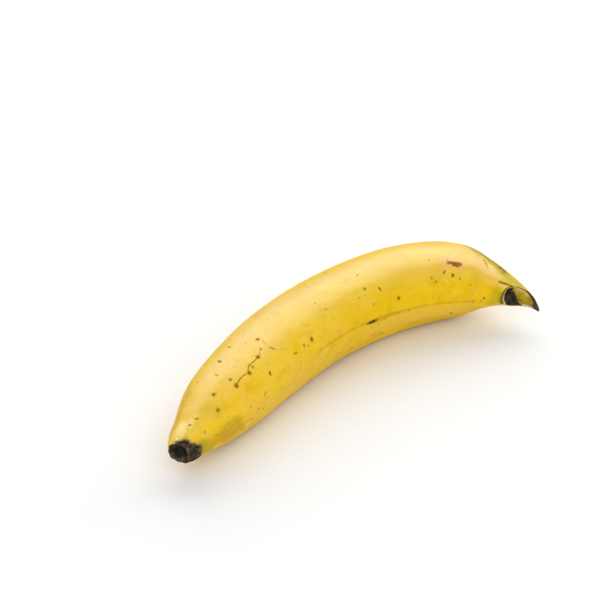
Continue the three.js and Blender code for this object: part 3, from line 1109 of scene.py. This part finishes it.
# %% [markdown]
# ## Dried crater
#
# The crater is the same crust, read from its middle outward: a brown lip all round, and a
# hollow where the flower sat, its middle painted near black as painted shade.

# %% Dried crater
LIP_BROWN = (0.095, 0.065, 0.042, 1)
# near black: painted shade in the crater's hollow, and the snapped pith of the stem
HOLLOW_SHADE_AND_PITH_BLACK = (0.006, 0.005, 0.005, 1)

crater, tree, shader = new_material("dried crater", CRUST_BLACK)
place = tree.stored("straight", "Vector")
crusted = tree.group(dried_crust, {"Place": place})
from_middle = tree.measure("LENGTH", tree.vector("MULTIPLY", place, (0, 1, 1)))
lip = tree.rise(from_middle, 0.0040, 0.0065)
# painted shade: the middle of the hollow darkened to near black
hollow_shade = tree.rise(from_middle, 0.0052, 0.0022)
colour = tree.blend(tree.times(lip, 0.4), crusted["Color"], LIP_BROWN)
colour = tree.blend(tree.times(hollow_shade, 0.85), colour, HOLLOW_SHADE_AND_PITH_BLACK)
tree.surface(shader, colour, crusted["Roughness"], crusted["Height"], 0.6, 0.0004)
shader.inputs["Specular IOR Level"].default_value = 0.15
print("crater:", crater.name)

# %% [markdown]
# ## Torn stem
#
# The torn face has several finishes. Inside the tongue it is olive pith, with a beige edge of
# peel above, a pale edge below, and a thin black line of painted shadow along the upper rim,
# in the fold of the peel. Towards the side that snapped the pith has turned black, and past it
# stand the bone-coloured cut of the peel, a dark olive band of painted shade, and a strip of
# its olive outer side. The point of the tongue has dried black.
#
# All are told apart by how far in from the rim a point lies, by how far along the tongue, and
# by which side of the stem it is on. Cutting the face into pieces would leave seams.

# %% Torn stem
RIM_BEIGE = (0.70, 0.46, 0.17, 1)
RIM_PALE = (0.74, 0.70, 0.46, 1)
RIM_BONE = (0.66, 0.52, 0.20, 1)
RIM_OLIVE_AND_SHADE = (0.15, 0.12, 0.006, 1)
PITH_OLIVE = (0.48, 0.35, 0.008, 1)
PITH_BROWN = (0.24, 0.13, 0.012, 1)
SHRED_SIZE = 0.0018

torn_stem, tree, shader = new_material("torn stem", PITH_OLIVE)
place = tree.stored("straight", "Vector")
distance, _, height = tree.parts(place)
inward = tree.stored("torn")
grained = tree.group(grain, {"Place": place})
crusted = tree.group(dried_crust, {"Place": place})
shreds = tree.less(tree.noise(place, SHRED_SIZE, 3.0, 0.6), 0.5)
uneven = tree.times(shreds, 0.0035)
inward_uneven = tree.plus(inward, tree.times(shreds, 0.16))
upper_edge = tree.rise(tree.dot(place, (0, -0.26, 0.97)), -0.0010, 0.0015)

# the pith and its edges
colour = tree.blend(tree.rise(grained["Streaks"], 0.48, 0.75), PITH_OLIVE, PITH_BROWN)
wider = tree.times(tree.rise(distance, 0.2610, 0.2565), 0.25)
beige = tree.times(tree.rise(tree.less(inward_uneven, wider), 0.34, 0.22), upper_edge,
                   tree.rise(distance, 0.2665, 0.2620))
colour = tree.blend(beige, colour, RIM_BEIGE)
browned = tree.rise(distance, 0.2625, 0.2665)
colour = tree.blend(tree.times(browned, 0.55), colour, PITH_BROWN)
towards_snap = tree.plus(tree.dot(place, (0, 1.0, 0.04)), uneven)
towards_snap = tree.less(towards_snap, tree.times(tree.most(height, 0.0), 0.28))
lower_edge = tree.times(tree.less(1.0, upper_edge), tree.rise(towards_snap, -0.0008, -0.0022))
pale = tree.times(tree.rise(inward_uneven, 0.22, 0.12), lower_edge)
colour = tree.blend(pale, colour, RIM_PALE)

# the black: beside the snap, painted shadow along the upper rim, and the point of the tongue
snapped = tree.times(tree.rise(towards_snap, -0.0016, -0.0007), tree.rise(inward, 0.02, 0.06))
thicker = tree.times(tree.rise(distance, 0.258, 0.268), 0.08)
# painted shadow: a thin black line along the upper rim, in the fold of the peel
rim_fold_shadow = tree.times(tree.rise(tree.less(inward, thicker), 0.10, 0.05), upper_edge)
beak = tree.rise(tree.plus(distance, uneven), 0.2685, 0.2700)
black = tree.most(rim_fold_shadow, snapped, beak)
colour = tree.blend(black, colour, crusted["Color"])
colour = tree.blend(tree.times(snapped, 0.5), colour, HOLLOW_SHADE_AND_PITH_BLACK)

# the cut of the peel past the snap, a dark olive band of painted shade, and its outer side
past_snap = tree.plus(tree.dot(place, (0, 0.96, 0.29)), tree.times(shreds, 0.0012))
colour = tree.blend(tree.rise(past_snap, 0.0016, 0.0021), colour, RIM_BONE)
# painted shade: a dark olive band next to the cut of the peel
colour = tree.blend(tree.rise(past_snap, 0.0026, 0.0034), colour, RIM_OLIVE_AND_SHADE)
colour = tree.blend(tree.rise(past_snap, 0.0046, 0.0064), colour, OLIVE)
tree.surface(shader, colour, tree.between(black, 0.55, crusted["Roughness"]),
             crusted["Height"], 0.5, 0.0004)
shader.inputs["Specular IOR Level"].default_value = 0.2
print("torn stem:", torn_stem.name)

# %% [markdown]
# ## Dressing the fruit
#
# Each face takes its finish from the ring that it lies in. The mesh then stands for the plain
# solid of the packed model and rides on its one body.

# %% Dressing the fruit
LIP_FROM = 0.78
IN_CRATER, ON_SKIN, ON_TORN_FACE = 1, 0, 2
for material in (peel, crater, torn_stem):
    fruit_mesh.materials.append(material)
face_row = np.repeat(np.arange(rows - 1), AROUND)
inner_rows = int((crater_share < LIP_FROM).sum())
slots = np.where(face_row < skin_rows.stop - 1, ON_SKIN, ON_TORN_FACE)
slots = np.where(face_row < inner_rows, IN_CRATER, slots)
slots = np.concatenate([slots, np.full(AROUND, IN_CRATER), np.full(AROUND, ON_TORN_FACE)])
fruit_mesh.polygons.foreach_set("material_index", slots.astype(np.int32))
fruit_mesh.update()

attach(plantain, "root")
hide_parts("plantain")
print("faces on the skin, in the crater and on the torn face:",
      [int((slots == which).sum()) for which in (ON_SKIN, IN_CRATER, ON_TORN_FACE)])

# %% [markdown]
# ## The table
#
# A plain pale board, wide enough to fill every view. It is a hair below the fruit's flats, so
# that the two faces don't fight for the same place.

# %% The table
TABLE_SIZE = 6.0
TABLE_DROP = 0.00005
table_mesh = bpy.data.meshes.new("pale_table")
half = TABLE_SIZE / 2
corners = [(-half, -half), (half, -half), (half, half), (-half, half)]
table_mesh.from_pydata([(x, y, -TABLE_DROP) for x, y in corners], [], [(0, 1, 2, 3)])
table = bpy.data.objects.new("pale_table", table_mesh)
bpy.context.scene.collection.objects.link(table)

board, tree, shader = new_material("pale board", (0.9, 0.9, 0.9))
clouds = tree.noise(tree.add("TexCoord", {})["Object"], 0.35, 2.0, 0.5)
tree.link(tree.blend(clouds, (0.90, 0.90, 0.90, 1), (0.93, 0.93, 0.93, 1)),
          shader.inputs["Base Color"])
shader.inputs["Roughness"].default_value = 0.8
table_mesh.materials.append(board)
table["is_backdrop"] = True
print("table:", TABLE_SIZE, "m across")

# %% [markdown]
# ## Light
#
# A white tent: even light from all round, a wide bright screen behind the fruit, and a dimmer
# one in front. The screen behind is seen in the upper side at a shallow angle, and lays the
# long pale sheen along it. The same light from straight above would bleach the fruit instead,
# and a small lamp would draw a hard white line, as on plastic.

# %% Light
WORLD_STRENGTH = 0.45
CAMERA_AZIMUTH, CAMERA_ELEVATION = -38.9, 33.2
# width and height in metres, brightness, azimuth and elevation in degrees
SCREEN_BEHIND = (2.0, 1.0, 1.72, 133, 41)
SCREEN_IN_FRONT = (1.6, 1.0, 1.26, CAMERA_AZIMUTH, 40)
SCREENS_AWAY = 1.0

scene = bpy.context.scene
scene.view_settings.view_transform = "Standard"
scene.view_settings.look = "None"

world = bpy.data.worlds.new("white tent")
world.use_nodes = True
world.node_tree.nodes["Background"].inputs["Color"].default_value = (1, 1, 1, 1)
world.node_tree.nodes["Background"].inputs["Strength"].default_value = WORLD_STRENGTH
scene.world = world


def way_to(azimuth, elevation):
    """The direction of a place seen from the fruit; azimuth runs from -Y towards +X."""
    side, up = math.radians(azimuth), math.radians(elevation)
    return Vector((math.sin(side) * math.cos(up), -math.cos(side) * math.cos(up), math.sin(up)))


def screen(name, width, height, brightness, azimuth, elevation):
    """A bright screen that faces the fruit from a direction."""
    light = bpy.data.lights.new(name, "AREA")
    light.shape, light.size, light.size_y = "RECTANGLE", width, height
    light.energy = brightness * math.pi * width * height
    lamp = bpy.data.objects.new(name, light)
    lamp.visible_camera = False
    lamp.location = SCREENS_AWAY * way_to(azimuth, elevation)
    lamp.rotation_euler = lamp.location.to_track_quat("Z", "Y").to_euler()
    scene.collection.objects.link(lamp)


screen("screen behind", *SCREEN_BEHIND)
screen("screen in front", *SCREEN_IN_FRONT)

# %% [markdown]
# ## Camera
#
# A long lens from a little over a metre, looking down on the fruit from the side of its tip.
# A long lens keeps the near tip from swelling. The frame is square.

# %% Camera
CAMERA_LENS, CAMERA_SENSOR, CAMERA_AWAY = 135, 36, 1.25
CAMERA_TARGET = Vector((16.8, 46.7, 19.65)) * MM
camera_data = bpy.data.cameras.new("camera")
camera_data.lens = CAMERA_LENS
camera_data.sensor_width = CAMERA_SENSOR
camera = bpy.data.objects.new("camera", camera_data)
back = way_to(CAMERA_AZIMUTH, CAMERA_ELEVATION)
camera.location = CAMERA_TARGET + back * CAMERA_AWAY
camera.rotation_euler = back.to_track_quat("Z", "Y").to_euler()
scene.collection.objects.link(camera)
scene.camera = camera
print("camera at", [round(v, 3) for v in camera.location])

# Both boxes are printed, so that they can be compared after each change.

low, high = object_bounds()
print("visual box in mm:", [round(v / MM, 1) for v in high - low])
